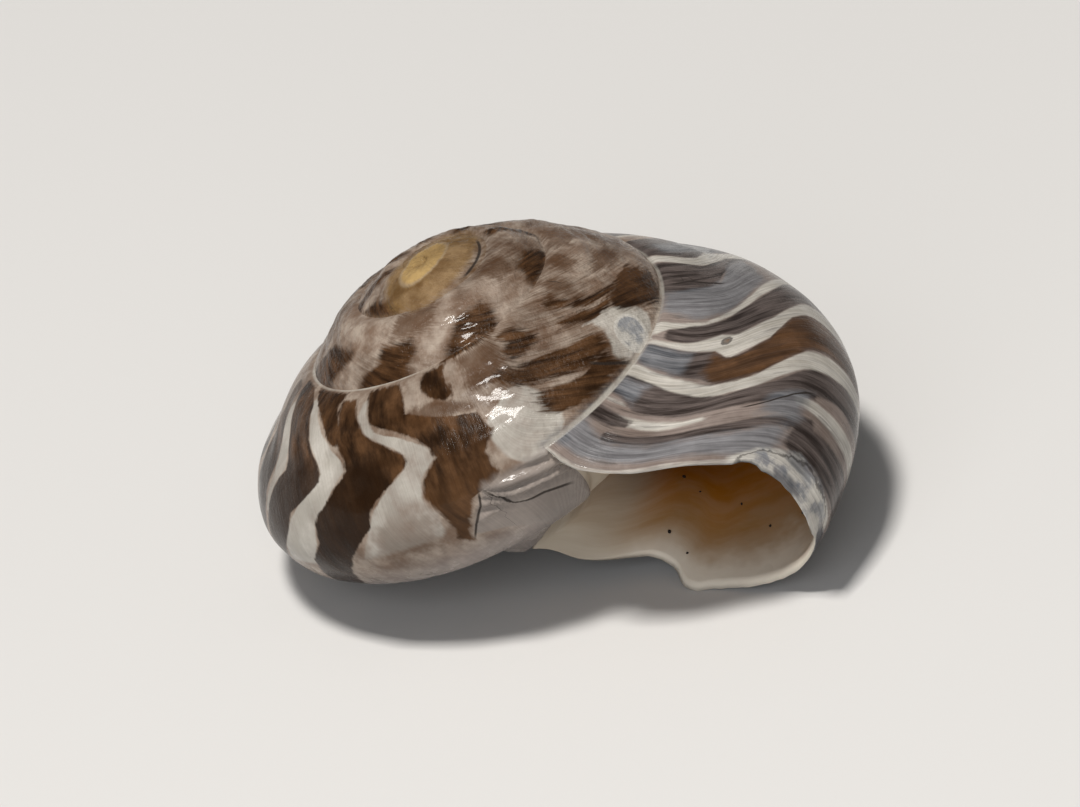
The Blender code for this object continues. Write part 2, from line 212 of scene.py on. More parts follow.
# The markings. Each band lists, down the whorl, the outline angle and the growth, in thousandths of
# a whorl, at its older and its younger edge. Bands of one kind may touch or cross.
BANDS = {
    # Cream stripes of the last whorl.
    "cream": (
        ((96, -250, -236), (80, -243, -229), (60, -236, -220), (40, -242, -221), (20, -224, -208),
         (-30, -214, -196), (-60, -212, -196), (-90, -206, -192)),
        ((92, -144, -122), (82, -144, -135), (60, -148, -141), (40, -159, -150), (20, -169, -157),
         (-30, -186, -168), (-60, -184, -168), (-90, -178, -164)),
        ((92, -121, -116), (70, -124, -115), (50, -129, -111), (40, -125, -100), (20, -128, -107),
         (10, -135, -123), (0, -141, -126), (-15, -144, -122), (-50, -138, -120), (-90, -130, -116)),
        ((92, -96, -82), (60, -88, -74), (40, -77, -64), (20, -77, -63), (0, -93, -75), (-20, -96, -81),
         (-50, -92, -80), (-90, -82, -70)),
        ((90, -61, -56), (76, -60, -56)),
        ((78, -49, -45), (65, -49, -40), (50, -47, -38), (30, -45, -40)),
        ((0, -56, -48), (-15, -56, -46), (-40, -56, -45), (-90, -50, -42)),
        ((-8, -19, -13), (-25, -18, -10), (-45, -18, -11)),
        ((92, -3, 2), (60, -4, 2), (-100, -4, 2)),
        # Round the ring scar on the whorl above.
        ((34, -1092, -1084), (27, -1117, -1096), (14, -1136, -1096), (5, -1142, -1090),
         (-1, -1144, -1084), (-6, -1144, -1086), (-13, -1132, -1090)),
        # By the lip's upper corner.
        ((34, -1006, -992), (28, -1012, -986), (18, -1018, -968), (8, -1022, -966), (-4, -1026, -968),
         (-12, -1022, -974), (-20, -1000, -986)),
        # Between the flames on the left of the last whorl.
        ((84, -858, -850), (70, -858, -844), (50, -865, -852), (40, -886, -865), (30, -900, -877),
         (20, -914, -888), (10, -916, -882), (0, -898, -855), (-10, -893, -834), (-20, -900, -818),
         (-34, -885, -790)),
        ((86, -776, -758), (70, -786, -770), (50, -802, -773), (30, -816, -781), (20, -818, -783),
         (10, -800, -764), (0, -782, -736), (-10, -757, -712), (-20, -750, -694), (-34, -724, -676)),
        ((74, -724, -716), (60, -727, -709), (40, -730, -705), (20, -718, -692), (8, -694, -682),
         (-10, -668, -660)),
    ),
    # Dark purple-grey stripes.
    "dark": (
        ((92, -290, -250), (80, -290, -243), (60, -290, -236), (40, -290, -243), (20, -282, -226),
         (-30, -264, -216), (-60, -258, -214), (-90, -250, -208)),
        ((92, -232, -184), (80, -229, -183), (60, -220, -188), (46, -221, -204), (30, -218, -210),
         (10, -206, -203)),
        ((82, -134, -124), (70, -141, -124), (50, -145, -129), (40, -150, -125), (20, -156, -129),
         (0, -166, -142), (-30, -168, -146), (-60, -166, -146), (-90, -160, -142)),
        ((88, -115, -97), (70, -115, -93), (50, -110, -86), *WARM_STRIPE),
        ((92, -82, -64), (80, -81, -62), (70, -79, -55), (50, -70, -52), (30, -62, -50), (10, -66, -51),
         (0, -75, -56), (-20, -81, -66), (-50, -80, -62), (-90, -70, -56)),
        ((90, -51, -38), (78, -49, -39), (66, -46, -41)),
        ((72, -33, -26), (20, -33, -26), (0, -38, -31), (-12, -44, -35)),
        ((12, -60, -54), (-8, -62, -56)),
        ((-6, -32, -21), (-15, -38, -19), (-35, -40, -22), (-70, -36, -20)),
        ((-12, -9, -5), (-40, -9, -6)),
        ((96, -20, -12), (84, -17, -12)),
        # The two flames at the left limb.
        ((92, -742, -714), (80, -766, -718), (70, -769, -726), (50, -772, -730), (30, -780, -727),
         (20, -782, -721), (14, -778, -706), (5, -754, -690), (-5, -718, -674), (-15, -706, -662),
         (-30, -676, -650), (-60, -640, -622)),
        ((84, -708, -688), (60, -709, -690), (40, -704, -667), (20, -690, -646), (0, -667, -634),
         (-40, -630, -600)),
    ),
    # Brown flames.
    "brown": (
        ((92, -892, -856), (80, -898, -858), (60, -900, -861), (50, -918, -879), (45, -926, -888),
         (40, -938, -895), (30, -963, -905), (20, -966, -914), (10, -972, -918), (0, -958, -900),
         (-10, -960, -895), (-16, -964, -902), (-20, -930, -901), (-32, -910, -898), (-38, -901, -889),
         (-42, -899, -895)),
        ((86, -839, -816), (70, -842, -820), (50, -852, -818), (40, -863, -818), (30, -876, -820),
         (20, -887, -819), (15, -890, -812), (10, -881, -801), (0, -853, -782), (-5, -839, -765),
         (-10, -832, -758), (-16, -828, -756), (-20, -813, -753), (-30, -782, -728), (-40, -758, -712),
         (-60, -728, -692), (-80, -712, -690)),
        ((94, -818, -754), (82, -810, -774), (75, -815, -788), (60, -819, -800), (45, -820, -809)),
        ((92, -949, -925), (80, -945, -920), (68, -950, -927), (58, -950, -940)),
        ((50, -110, -90), *WARM_STRIPE),
        # Blotches on the whorl above.
        ((28, -1160, -1134), (20, -1194, -1128), (15, -1195, -1124), (8, -1197, -1134),
         (0, -1207, -1148), (-6, -1190, -1160), (-9, -1180, -1168)),
        ((58, -1112, -1102), (50, -1118, -1100), (44, -1127, -1109), (38, -1136, -1118),
         (30, -1152, -1136), (24, -1166, -1150)),
        ((54, -1082, -1077), (48, -1092, -1078), (40, -1106, -1085), (33, -1116, -1094),
         (28, -1134, -1102), (24, -1138, -1120)),
        ((80, -1098, -1086), (74, -1098, -1082), (66, -1103, -1089), (58, -1108, -1100)),
        ((46, -1018, -1004), (40, -1040, -1006), (30, -1062, -1010), (20, -1088, -1028),
         (14, -1090, -1041), (8, -1088, -1054), (3, -1084, -1064)),
        ((13, -1022, -1014), (8, -1034, -1014), (4, -1048, -1014), (2, -1082, -1013),
         (-5, -1083, -1020), (-11, -1092, -1050)),
        ((54, -1004, -980), (44, -1012, -996), (34, -1014, -1001), (24, -1026, -1018)),
        ((86, -1034, -1018), (76, -1042, -1020), (66, -1048, -1012), (56, -1046, -1016)),
        ((101, -1030, -960), (95, -1016, -940)),
        ((54, -2030, -1985), (40, -2037, -1976), (30, -2037, -1971), (20, -2033, -1960),
         (6, -2030, -1955)),
        ((56, -1910, -1862), (40, -1915, -1856), (30, -1914, -1860), (20, -1904, -1840),
         (2, -1900, -1830)),
        ((54, -1800, -1740), (40, -1803, -1730), (20, -1782, -1716), (0, -1772, -1700)),
        ((52, -2172, -2130), (36, -2190, -2124), (22, -2196, -2112), (12, -2186, -2110)),
        ((56, -2860, -2770), (44, -2880, -2760), (30, -2870, -2750)),
        ((64, -3480, -3440), (46, -3500, -3420)),
    ),
    # Smears of thin brown.
    "faint": (
        ((98, -1184, -1150), (84, -1180, -1150), (72, -1174, -1164)),
        ((94, -1232, -1204), (76, -1226, -1204)),
        ((100, -1270, -1190), (86, -1262, -1204), (70, -1268, -1230), (50, -1276, -1240),
         (30, -1272, -1236), (8, -1262, -1232)),
        ((56, -1200, -1160), (46, -1208, -1172), (36, -1222, -1180), (27, -1220, -1190)),
        ((92, -1010, -960), (70, -1010, -970), (50, -1000, -966)),
        ((62, -936, -880), (50, -950, -900), (36, -966, -930)),
        ((95, -1130, -1112), (78, -1132, -1112), (68, -1126, -1114)),
        ((104, -1960, -1880), (84, -1958, -1876), (62, -1950, -1870)),
        ((100, -2140, -2060), (76, -2136, -2076), (58, -2120, -2080)),
        ((90, -2560, -2440), (60, -2600, -2460), (34, -2600, -2440)),
        ((90, -2960, -2820), (70, -2960, -2830)),
        ((-48, -1000, -952), (-80, -1000, -960)),
    ),
    # Blue-grey stretches, where the upper layer has thinned.
    "slate": (
        ((90, -184, -158), (70, -187, -150), (50, -196, -154), (40, -208, -159), (30, -210, -166),
         (16, -206, -172)),
        ((92, -116, -98), (76, -116, -94), (62, -112, -92)),
        ((90, -80, -66), (74, -78, -60)),
        ((92, -38, -8), (70, -26, -10), (40, -25, -10), (10, -26, -8), (-4, -34, -8)),
        ((10, -56, -40), (-6, -60, -36)),
        ((-14, -1080, -1000), (-18, -1090, -1000)),
        ((80, -272, -250), (50, -272, -246), (20, -260, -226)),
    ),
    # The glaze that the inner lip lays over the base.
    "glaze": (
        ((-16, -1030, -946), (-20, -1030, -939), (-30, -1030, -920), (-40, -1030, -902),
         (-46, -1030, -930), (-56, -1030, -950), (-110, -1030, -968)),
    ),
}

# Thin dark lines: cracks, and creases in the glaze beside the mouth whose dark line is painted shade. Each
# has half its width, in millimetres, then its outline angles and growths.
CRACKS = (
    (0.07, ((87, -208), (77, -209), (66, -208))),
    (0.09, ((88, -196), (75, -199), (62, -196), (48, -191))),
    # Two creases in the glaze beside the mouth, drawn dark as painted shade.
    (0.05, ((-18, -940), (-26, -930), (-34, -914), (-43, -899))),
    (0.07, ((-18, -942), (-28, -947), (-34, -950), (-37.5, -959), (-38.5, -971), (-44, -992))),
    (0.07, ((19, -47), (12, -48), (5, -52), (-1, -57), (-8, -61))),
    (0.06, ((52, -3240), (50, -3180), (46, -3100), (42, -3050))),
    (0.08, ((8, -1064), (0, -1073), (-13, -1094))),
    (0.04, ((92, -1122), (76, -1125))),
)

# Stretch along the lip where thin layers have flaked off, listed like a band, and how many layers.
FLAKED = ((8, -6, 4), (0, -14, 4), (-14, -21, 4), (-36, -19, 4), (-54, -8, 4))
FLAKE_LAYERS = 4.0

# Round marks: outline angle, growth, radius in millimetres, height of the rim and depth of the middle.
RINGS_AND_PITS = (
    (-1.5, -1114, 0.64, 0.040, 0.030),
    (45.5, -120, 0.24, 0.030, 0.060),
)

# The worn patch at the apex and its yellow middle: middle on the unturned shell and radius, in
# millimetres, how much longer than wide, and how much it slopes. Then the growth that they end at.
WORN_PATCH = (0.05, -0.60, 2.35, 1.0, 0.40)
YELLOW_PATCH = (-0.15, -0.30, 1.25, 0.9, 0.5)
YOUNGEST_WORN = -1.9

# Dark grains of sand stuck in the mouth: depth in whorls, angle round the hollow, share of the largest.
# Then how far a grain is squeezed and stretched.
SAND_GRAINS = (
    (0.050, -67, 1.0), (0.050, -85, 0.8), (0.080, -106, 0.6), (0.035, -142, 0.8),
    (0.110, -142, 0.9), (0.020, -128, 0.6), (0.090, -133, 0.5),
)
GRAIN_STRETCH = (0.7, 1.3)


def ease(share):
    """Run smoothly from 0 to 1 as the share does."""
    share = np.clip(share, 0.0, 1.0)
    return share * share * (3.0 - 2.0 * share)


def curve_through(points, place, period=None):
    """Read a smooth curve through (place, value) points."""
    points = np.array(points, float)
    if period:
        before = points[-2:] - (period, 0.0)
        after = points[:2] + (period, 0.0)
        points = np.concatenate((before, points, after))
        place = (place - points[2, 0]) % period + points[2, 0]
    places, values = points.T
    place = np.clip(place, places[0], places[-1])
    slopes = np.gradient(values, places)
    left = np.clip(np.searchsorted(places, place) - 1, 0, len(places) - 2)
    gap = places[left + 1] - places[left]
    along = (place - places[left]) / gap
    weight = ease(along)
    pull_left = along * (1.0 - along) ** 2 * gap * slopes[left]
    pull_right = along ** 2 * (along - 1.0) * gap * slopes[left + 1]
    return values[left] * (1.0 - weight) + values[left + 1] * weight + pull_left + pull_right


def pad_height(angle, turn):
    """Thickness of the glaze laid over the base beside the mouth."""
    under = ease((PAD_ANGLE - angle) / PAD_SPREAD)
    beside = 1.0 - ease((turn + 1.0) / PAD_TURNS)
    return PAD_HEIGHT * under * beside


def whorl_section(angle, turn):
    """Distance out from the axis, and height, of a place on the outside of a whorl."""
    wide = RADIUS_GAIN ** turn
    high = HEIGHT_GAIN ** turn
    reach = wide * curve_through(OUTLINE, angle, 360.0) + pad_height(angle, turn)
    out = wide * CORE_RADIUS + reach * np.cos(np.radians(angle))
    height = -high * CORE_DEPTH + reach * np.sin(np.radians(angle))
    return out, height


def wind(out, height, turn):
    """Carry a place in the whorl's section round the axis."""
    heading = np.radians(MOUTH_HEADING - 360.0 * turn)
    return np.stack((out * np.cos(heading), out * np.sin(heading), height), axis=-1)


def trailing(angle, turn):
    """Turns by which the growth line through a place trails, or is broken back."""
    inner = (COVER_ANGLE - angle) / INNER_LIP_SPREAD
    inner_lip = INNER_LIP_TRAIL * np.sin(np.pi * np.clip(inner, 0.0, 1.0))
    grown = ease((turn + 1.0) / GROWN_TURNS)
    trail = inner_lip * (1.0 - grown) + curve_through(TRAIL, angle) * grown
    across = np.clip((angle - BITE_ANGLE) / BITE_HALF_WIDTH, -1.0, 1.0)
    bite = BITE_DEPTH * 0.5 * (1.0 + np.cos(np.pi * across))
    chips = chip_depth(angle) * ease(1.0 + turn / CHIP_RUN_TURNS)
    return (trail + bite * ease(1.0 + turn / BITE_TURNS)) / 360.0 + chips


def bend(start, start_pull, end_pull, end, share):
    """Points on a curve that leaves start and reaches end along the two pulls."""
    share = share[:, None]
    rest = 1.0 - share
    first = rest ** 3 * start + 3.0 * rest ** 2 * share * (start + start_pull)
    return first + 3.0 * rest * share ** 2 * (end + end_pull) + share ** 3 * end


def exposed_rows(turn, opening, suture):
    """Places and outline angles down a whorl, from its suture to the line that the next one covers."""
    share = np.linspace(0.0, 1.0, ROWS_EXPOSED + 1)
    top = SUTURE_ANGLE + SUTURE_DRIFT * turn
    low = COVER_ANGLE + (COVER_DRIFT if turn <= -1.0 else OPEN_DRIFT) * (turn + 1.0)
    angle = top + (low - top) * share
    line = turn - (trailing(angle, turn) if turn > -1.0 else 0.0)
    places = wind(*whorl_section(angle, line), line)
    end = places[-1] * opening
    share = share[:, None]
    arch = places - places[0] * (1.0 - share) - places[-1] * share
    return suture * (1.0 - share) + end * share + arch * opening, angle


def base_rows(turn):
    """The rest of the line on the last whorl, under the base and in to the foot."""
    grown = ease((turn + 1.0) / GROWN_TURNS)
    top = COVER_ANGLE + OPEN_DRIFT * (turn + 1.0)
    low = INNER_LIP_ANGLE + (BASE_ANGLE - INNER_LIP_ANGLE) * grown
    low += (LOWER_LIP_ANGLE - BASE_ANGLE) * ease(1.0 + turn / LOWER_LIP_TURNS)
    angle = np.linspace(top, low, ROWS_BASE + 1)[1:]
    line = turn - trailing(angle, turn)
    under = wind(*whorl_section(angle, line), line)
    foot = np.array(FOOT)
    way = under[-1] - under[-2]
    gap = np.linalg.norm(foot - under[-1])
    flat = ease((turn + 1.0) / FLAT_TURNS)
    back = (under[-1] - foot) * (1.0, 1.0, 1.0 - FLAT_SHARE * flat)
    back = back / np.linalg.norm(back) - np.array((0.0, 0.0, FLAT_DIP * flat))
    share = np.linspace(0.0, 1.0, ROWS_FOOT + 1)[1:]
    way = way / np.linalg.norm(way)
    inward = bend(under[-1], way * gap * START_PULL, back * gap * END_PULL, foot, share)
    angles = np.concatenate((angle, low + (-180.0 - low) * share))
    return np.concatenate((under, inward)), angles


class Surface:
    """Vertices, the places of the pattern that lie on them, and the faces between the places."""

    def __init__(self):
        self.points = []
        self.places = []
        self.faces = []
        self.sides = []

    def vertex(self, point):
        self.points.append(tuple(point))
        return len(self.points) - 1

    def place(self, vertex, growth, angle, depth=0.0):
        self.places.append((vertex, growth, angle, depth))
        return len(self.places) - 1

    def strip(self, first, second, side):
        """Join two lines of places, some of which may share a vertex."""
        for upper, lower, next_lower, next_upper in zip(first, first[1:], second[1:], second):
            corners = {}
            for corner in (upper, next_upper, next_lower, lower):
                corners.setdefault(self.places[corner][0], corner)
            if len(corners) > 2:
                self.faces.append(tuple(corners.values()))
                self.sides.append(side)


def lay_outside(surface):
    """Lay the outside, line by line, and return each line's places."""
    count = round(WHORLS * STEPS_PER_WHORL)
    apex = surface.vertex((0.0, 0.0, 0.0))
    foot = surface.vertex(FOOT)
    lines = [[surface.place(apex, -WHORLS, SUTURE_ANGLE)] * (ROWS_EXPOSED + 1)]
    for step in range(1, count + 1):
        turn = (step - count) / STEPS_PER_WHORL
        weld = apex
        if step >= STEPS_PER_WHORL:
            weld = surface.places[lines[step - STEPS_PER_WHORL][ROWS_EXPOSED]][0]
        opening = ease(step / STEPS_PER_WHORL)
        places, angles = exposed_rows(turn, opening, np.array(surface.points[weld]))
        line = [surface.place(weld, turn, angles[0])]
        for point, angle in zip(places[1:], angles[1:]):
            line.append(surface.place(surface.vertex(point), turn, angle))
        if turn >= -1.0:
            places, angles = base_rows(turn)
            for point, angle in zip(places[:-1], angles):
                line.append(surface.place(surface.vertex(point), turn, angle))
            line.append(surface.place(foot, turn, angles[-1]))
        surface.strip(lines[-1][:ROWS_EXPOSED + 1], line[:ROWS_EXPOSED + 1], OUTSIDE)
        surface.strip(lines[-1][ROWS_EXPOSED:], line[ROWS_EXPOSED:] if turn > -1.0 else [], OUTSIDE)
        lines.append(line)
    return lines


def room(out, height, turn, wall, glaze, corner):
    """Room left inside the whorl, clear of its own wall and of the whorl that it passes over."""
    spans = []
    for whorl in (turn, turn - 1.0):
        across = out - RADIUS_GAIN ** whorl * CORE_RADIUS
        down = height + HEIGHT_GAIN ** whorl * CORE_DEPTH
        angle = np.degrees(np.arctan2(down, across))
        reach = RADIUS_GAIN ** whorl * curve_through(OUTLINE, angle, 360.0)
        spans.append(reach - np.hypot(across, down))
    inside = spans[0] - wall
    clear = -spans[1] - glaze
    lean = np.clip(0.5 + 0.5 * (clear - inside) / corner, 0.0, 1.0)
    return clear * (1.0 - lean) + inside * lean - corner * lean * (1.0 - lean)


def hollow_middle(turn):
    """Middle of the hollow: distance out from the axis, and height."""
    wide = RADIUS_GAIN ** turn
    high = HEIGHT_GAIN ** turn
    out, depth = HOLLOW_MIDDLE
    return wide * out, -high * CORE_DEPTH - wide * (depth - CORE_DEPTH)


def hollow_ring(turn, angle, *walls):
    """One ring of the hollow's wall, found along rays from the hollow's middle."""
    out, height = hollow_middle(turn)
    across = np.cos(angle)
    up = np.sin(angle)
    near = np.zeros_like(angle)
    step = RAY_STEP * RADIUS_GAIN ** turn
    while True:
        ahead = room(out + (near + step) * across, height + (near + step) * up, turn, *walls)
        if not np.any(ahead > 0.0):
            break
        near = np.where(ahead > 0.0, near + step, near)
    far = near + step
    for _ in range(RAY_HALVINGS):
        middle = (near + far) / 2.0
        free = room(out + middle * across, height + middle * up, turn, *walls) > 0.0
        near = np.where(free, middle, near)
        far = np.where(free, far, middle)
    return wind(out + near * across, height + near * up, turn)


def lay_hollow(surface, lines):
    """Lay the hollow, ring by ring, inwards from the edge of the mouth, and close its far end."""
    inner_lip = lines[-1 - STEPS_PER_WHORL][ROWS_EXPOSED + 1:-1]
    edge = [surface.places[place][0] for place in lines[-1] + inner_lip[::-1]]
    points = np.array([surface.points[vertex] for vertex in edge])
    heading = np.degrees(np.arctan2(points[:, 1], points[:, 0]))
    turn = (MOUTH_HEADING - heading) / 360.0
    turn -= np.round(turn)
    out, height = hollow_middle(turn)
    angle = np.unwrap(np.arctan2(points[:, 2] - height, np.hypot(points[:, 0], points[:, 1]) - out))
    angle = np.minimum.accumulate(angle - RAY_GAP * np.arange(len(angle)))
    around = np.degrees(angle)
    pad = PAD_HEIGHT * ease((around - PAD_END) / PAD_SPREAD) * ease(-around / 90.0)
    ring = [surface.place(vertex, 0.0, degrees) for vertex, degrees in zip(edge, around)]
    for depth in HOLLOW_RIM + (HOLLOW_TURNS - HOLLOW_RIM) * np.linspace(0.0, 1.0, RINGS) ** RING_CROWDING:
        inwards = turn - depth
        wall = (LIP_WALL + (BODY_WALL - LIP_WALL) * ease(depth / WALL_TURNS)) * RADIUS_GAIN ** inwards
        glaze = GLAZE * ease(depth / GLAZE_TURNS) + RIM_GAP
        glaze = np.maximum(glaze, pad * (1.0 - ease(depth / PAD_TURNS_INSIDE)))
        corner = RIM_CORNER + HOLLOW_CORNER * ease(depth / CORNER_TURNS) * RADIUS_GAIN ** inwards
        points = hollow_ring(inwards, angle, wall, glaze, corner)
        inner = []
        for point, degrees in zip(points, around):
            inner.append(surface.place(surface.vertex(point), -depth, degrees, depth))
        surface.strip(ring + ring[:1], inner + inner[:1], INSIDE)
        ring = inner
    middle = np.mean([surface.points[surface.places[place][0]] for place in ring], axis=0)
    end = surface.place(surface.vertex(middle), -HOLLOW_TURNS, 0.0, HOLLOW_TURNS)
    surface.strip(ring + ring[:1], [end] * (len(ring) + 1), INSIDE)


def turned(points, degrees, axis):
    """Turn points about one of the three axes."""
    sine = np.sin(np.radians(degrees))
    cosine = np.cos(np.radians(degrees))
    first, second = ((1, 2), (2, 0), (0, 1))[axis]
    result = points.copy()
    result[:, first] = points[:, first] * cosine - points[:, second] * sine
    result[:, second] = points[:, first] * sine + points[:, second] * cosine
    return result


def laid_down(points):
    """Lean the shell over as it lies, with its lowest point at height 0 and its box centred."""
    points = turned(turned(turned(points, SPIN, 2), LEAN, 1), LEAN_TOWARDS, 2)
    low = points.min(axis=0)
    high = points.max(axis=0)
    return points - ((low[0] + high[0]) / 2.0, (low[1] + high[1]) / 2.0, low[2])


def speckle(first, second, seed):
    """Smooth noise between 0 and 1 over two coordinates, one lattice step apart at each whole number."""
    lattice = np.random.default_rng(seed).random((LATTICE, LATTICE))
    column = np.floor(first).astype(int)
    row = np.floor(second).astype(int)
    right = ease(first - column)
    up = ease(second - row)
    value = np.zeros_like(right)
    for step in (0, 1):
        for rise in (0, 1):
            share = (right if step else 1.0 - right) * (up if rise else 1.0 - up)
            value += share * lattice[(column + step) % LATTICE, (row + rise) % LATTICE]
    return value


def band_field(growth, angle, band):
    """Millimetres inside a band's edges, and less than nothing outside them."""
    angles, older, younger = np.array(band[::-1], float).T
    size = RADIUS_GAIN ** growth
    start = np.interp(angle, angles, older) / 1000.0
    end = np.interp(angle, angles, younger) / 1000.0
    across = np.minimum(growth - start, end - growth) * TURN_MM
    along = np.minimum(angles[-1] - angle, angle - angles[0]) * DEGREE_MM
    return np.minimum(across, along) * size


def marking(growth, angle, bands):
    """Millimetres inside the nearest of several bands."""
    field = np.full(len(growth), -FIELD_REACH_MM)
    for band in bands:
        np.maximum(field, band_field(growth, angle, band), out=field)
    return np.minimum(field, FIELD_REACH_MM)


def crack_fields(growth, angle):
    """How far across the nearest crack, in half widths, and how many millimetres inside its ends."""
    size = RADIUS_GAIN ** growth
    nearest = np.full(len(growth), FIELD_REACH_MM)
    across = nearest.copy()
    along = -nearest
    for width, line in CRACKS:
        spots = np.array(line, float) * (DEGREE_MM, TURN_MM / 1000.0)
        reach = np.linalg.norm(spots[-1] - spots[0])
        whole = (spots[-1] - spots[0]) / reach
        for first, last in zip(spots, spots[1:]):
            length = np.linalg.norm(last - first)
            way = (last - first) / length
            down = angle * DEGREE_MM - first[0]
            older = growth * TURN_MM - first[1]
            near = np.clip(down * way[0] + older * way[1], 0.0, length)
            gap = np.hypot(down - near * way[0], older - near * way[1]) * size
            closer = gap < nearest
            nearest[closer] = gap[closer]
            across[closer] = ((down * way[1] - older * way[0]) * size / width)[closer]
            place = (down + first[0] - spots[0, 0]) * whole[0] + (older + first[1] - spots[0, 1]) * whole[1]
            along[closer] = (np.minimum(place, reach - place) * size)[closer]
    return across, along


def ring_spread(growth, angle, middle, turn):
    """Millimetres from the middle of a round mark."""
    across = growth * TURN_MM - turn * TURN_MM / 1000.0
    return np.hypot((angle - middle) * DEGREE_MM, across) * RADIUS_GAIN ** growth


def ring_field(growth, angle):
    """Millimetres inside the nearest round mark."""
    field = np.full(len(growth), -FIELD_REACH_MM)
    for middle, turn, radius, _, _ in RINGS_AND_PITS:
        np.maximum(field, radius - ring_spread(growth, angle, middle, turn), out=field)
    return field


def unseen_bands():
    """Stripes round the back and on the whorls above, in the widths and slants of the seen ones."""
    random = np.random.default_rng(11)
    bands = {"dark": [], "cream": [], "brown": []}
    growth, end = BACK_STRIPES
    while growth < end:
        wide = random.uniform(*STRIPE_WIDTHS)
        gap = random.uniform(*STRIPE_GAPS)
        left = np.clip((RIGHT_END - growth) / (RIGHT_END - LEFT_START), 0.0, 1.0)
        stripe = []
        pale = []
        for angle, seen_right, seen_left in SLANTS:
            older = growth + seen_right * (1.0 - left) + seen_left * left + random.uniform(-3.0, 3.0)
            younger = older + wide * (0.75 + 0.25 * math.sin(math.radians(angle * 2.0 + growth)))
            stripe.append((angle, older, younger))
            pale.append((angle, younger - 1.0, younger + gap * random.uniform(0.5, 0.8)))
        bands["dark"].append(stripe)
        bands["cream"].append(pale)
        growth += wide + gap
    for growth, end, top in BACK_BLOTCHES:
        while growth < end:
            wide = random.uniform(*BLOTCH_WIDTHS)
            slant = random.uniform(0.0, 40.0)
            blotch = []
            for angle in (top, 70, 45, 20, -6):
                older = growth + slant * (angle - 40.0) / 60.0 + random.uniform(-8.0, 8.0)
                blotch.append((angle, older, older + wide * random.uniform(0.6, 1.0)))
            bands["brown"].append(blotch)
            growth += wide + random.uniform(*BLOTCH_GAPS)
    return bands


def patch_field(points, growth, patch):
    """Millimetres inside an oval patch round the apex."""
    middle, down, radius, stretch, slope = patch
    across = points[:, 0] - middle
    field = radius - np.hypot(across, (points[:, 1] - down - slope * across) / stretch)
    return np.where(growth < YOUNGEST_WORN, field, -FIELD_REACH_MM)


def seam_distance(growth, angle):
    """Millimetres to the nearer seam between two whorls."""
    top = SUTURE_ANGLE + SUTURE_DRIFT * growth
    low = COVER_ANGLE + COVER_DRIFT * (growth + 1.0)
    down = np.where(growth <= -1.0, angle - low, FIELD_REACH_MM / DEGREE_MM)
    return np.clip(np.minimum(top - angle, down) * DEGREE_MM * RADIUS_GAIN ** growth, 0.0, FIELD_REACH_MM)


def flake_layers(growth, angle):
    """Which of the thin layers shows where the lip has flaked, from 0 for the lowest to 1."""
    layer = speckle(growth * 190.0, angle / 16.0, 8) * FLAKE_LAYERS
    return (np.floor(layer) + ease((layer % 1.0 - 0.6) / 0.4)) / FLAKE_LAYERS


def relief(growth, angle, seam, marks, crack, flaked):
    """Height of the surface's small forms, in millimetres."""
    above = ease((-0.9 - growth) / 0.12)
    lumpy = ease((-0.74 - growth) / 0.06)
    slanted = growth - 0.0022 * angle * above
    height = np.zeros_like(growth)
    # Waves: their height, what they cross, their steps in a whorl, degrees in a step, seed and share.
    for rise, place, steps, degrees, seed, share in (
        (0.035, slanted, 70.0, 34.0, 1, 1.0),
        (0.030, slanted, 110.0, 18.0, 2, 0.5 + 1.2 * above),
        (0.045, slanted, 170.0, 6.0, 9, above),
        (0.110, growth, 16.0, 17.0, 4, 1.0),
        (0.090, growth, 40.0, 8.0, 5, lumpy),
    ):
        height += rise * (speckle(place * steps, angle / degrees, seed) - 0.5) * share
    plain = 1.0 - ease((marks["glaze"] + 0.2) / 0.4)
    height *= (0.35 + 0.65 * plain) * (0.35 + 0.65 * RADIUS_GAIN ** growth)
    wrinkled = ease((marks["glaze"] + 0.1) / 0.3) * ease((angle + 42.0) / 12.0)
    across = angle - 190.0 * (growth + 1.0)
    fold = np.sin(2.0 * np.pi * (across / 6.5 + 1.3 * speckle(growth * 45.0, across / 16.0, 6)))
    height += wrinkled * (FOLD_RISE * fold * (0.4 + speckle(growth * 60.0, across / 9.0, 7)) + FOLD_BED)
    height += FLAKE_RISE * ease(flaked / 0.3) * (flake_layers(growth, angle) - 0.6)
    height -= SEAM_GROOVE * (1.0 - ease(seam / 0.2)) * ease((growth + 3.2) / 0.8)
    height += SEAM_RIDGE * (1.0 - ease(abs(seam - 0.32) / 0.22)) * ease((growth + 0.96) / 0.06)
    across, along = crack
    height -= CRACK_DEPTH * (1.0 - ease(abs(across) / 2.5)) * ease(along / 0.2)
    for middle, turn, radius, rim, floor in RINGS_AND_PITS:
        spread = ring_spread(growth, angle, middle, turn)
        height += rim * np.exp(-(((spread - radius) / 0.09) ** 2))
        height -= floor * (1.0 - ease(spread / radius))
    return height


def chip_depth(angle):
    """Turns by which small chips cut the lip back, most of them on its outer and lower part."""
    low = ease((12.0 - angle) / 12.0)
    large = ease((speckle(angle / 9.0, np.zeros_like(angle), 21) - 0.5) / 0.3)
    small = speckle(angle / 2.6, np.zeros_like(angle), 22)
    return CHIP_TURNS * (low * (large + 0.5 * small) + 0.08 * small)


